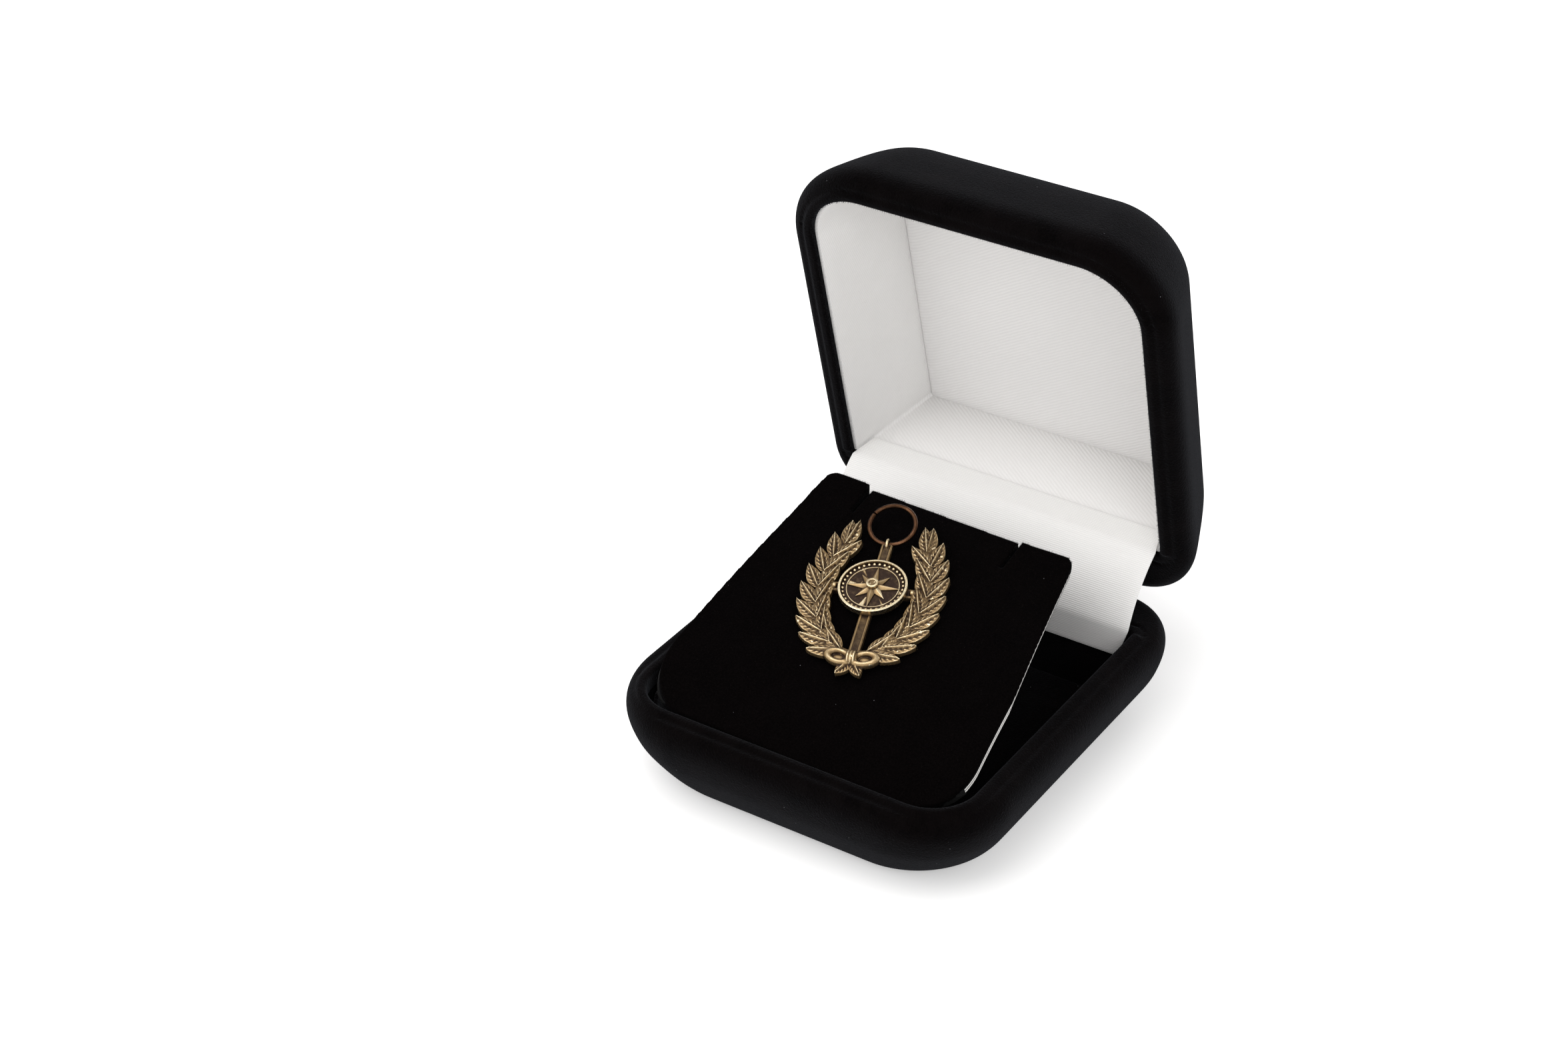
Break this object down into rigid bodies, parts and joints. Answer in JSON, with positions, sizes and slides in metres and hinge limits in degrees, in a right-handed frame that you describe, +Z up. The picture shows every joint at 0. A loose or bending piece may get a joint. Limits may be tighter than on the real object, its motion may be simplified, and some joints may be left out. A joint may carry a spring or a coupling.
{
  "type": "velvet pin presentation box",
  "caption": "Hinged velvet presentation box that stands open, with satin-lined lid, a sloping card insert and a cast brass wreath pin with a wire ring and clutch.",
  "frame": {"origin": "middle of the base's underside as a rectangle, on the surface it stands on", "axes": "+Z up, -Y to the front, away from the hinge, +X to the right seen from the front"},
  "size_m": [0.0832, 0.1118, 0.1085],
  "materials": {
    "moulding": "plain black moulding, hidden",
    "black_velvet": "short-pile velvet, soft sheen at grazing angles",
    "black_lining": "short-pile flocked lining",
    "black_board": "paper board flocked black",
    "white_satin": "satin with a soft gloss and a fine diagonal weave",
    "white_board": "plain white paper board",
    "hinge_steel": "bright spring steel",
    "antique_brass": "antique brass, dark in the recesses, worn bright on the ridges",
    "copper_wire": "browned wire",
    "clutch_brass": "bright pressed brass"
  },
  "bodies": {
    "base": {"base_shell": "moulding", "base_velvet_cover": "black_velvet", "base_wall_lining": "black_lining", "base_rear_lining": "black_lining", "base_floor_card": "black_board", "base_hinge_leaf": "hinge_steel", "base_hinge_rivet_left": "hinge_steel", "base_hinge_rivet_right": "hinge_steel", "hinge_pin": "hinge_steel", "snap_spring_left": "hinge_steel", "snap_spring_right": "hinge_steel", "hinge_ribbon": "white_satin"},
    "lid": {"lid_shell": "moulding", "lid_velvet_cover": "black_velvet", "lid_wall_lining": "white_satin", "lid_rear_lining": "white_satin", "lid_top_card": "white_board", "lid_top_pad": "white_satin", "lid_hinge_leaf": "hinge_steel", "lid_hinge_rivet_left": "hinge_steel", "lid_hinge_rivet_right": "hinge_steel"},
    "insert": {"insert_card": "white_board", "insert_velvet": "black_velvet"},
    "pin": {"pin_wreath": "antique_brass", "pin_medallion": "antique_brass", "pin_post": "antique_brass"},
    "clutch": {"clutch_body": "clutch_brass"},
    "ring": {"wire_ring": "copper_wire"}
  },
  "joints": [
    {"name": "lid_hinge", "type": "hinge", "parent": "base", "child": "lid", "pos_m": [0, 0.0441, 0.0212], "axis": [1, 0, 0], "range_deg": [0, 75], "deforming": ["hinge_ribbon", "snap_spring_left", "snap_spring_right"]},
    {"name": "insert_lift", "type": "slide", "parent": "base", "child": "insert", "axis": [0, 0, 1], "range_m": [0, 0.046]},
    {"name": "pin_lift", "type": "slide", "parent": "insert", "child": "pin", "axis": [0.0287, -0.2563, 0.9662], "range_m": [0, 0.026]},
    {"name": "clutch_slide", "type": "slide", "parent": "insert", "child": "clutch", "axis": [-0.0287, 0.2563, -0.9662], "range_m": [0, 0.008]},
    {"name": "ring_swing", "type": "hinge", "parent": "pin", "child": "ring", "pos_m": [-0.00767, 0.00945, 0.03811], "axis": [0.953, 0.2987, 0.0509], "range_deg": [-8, 4]}
  ]
}
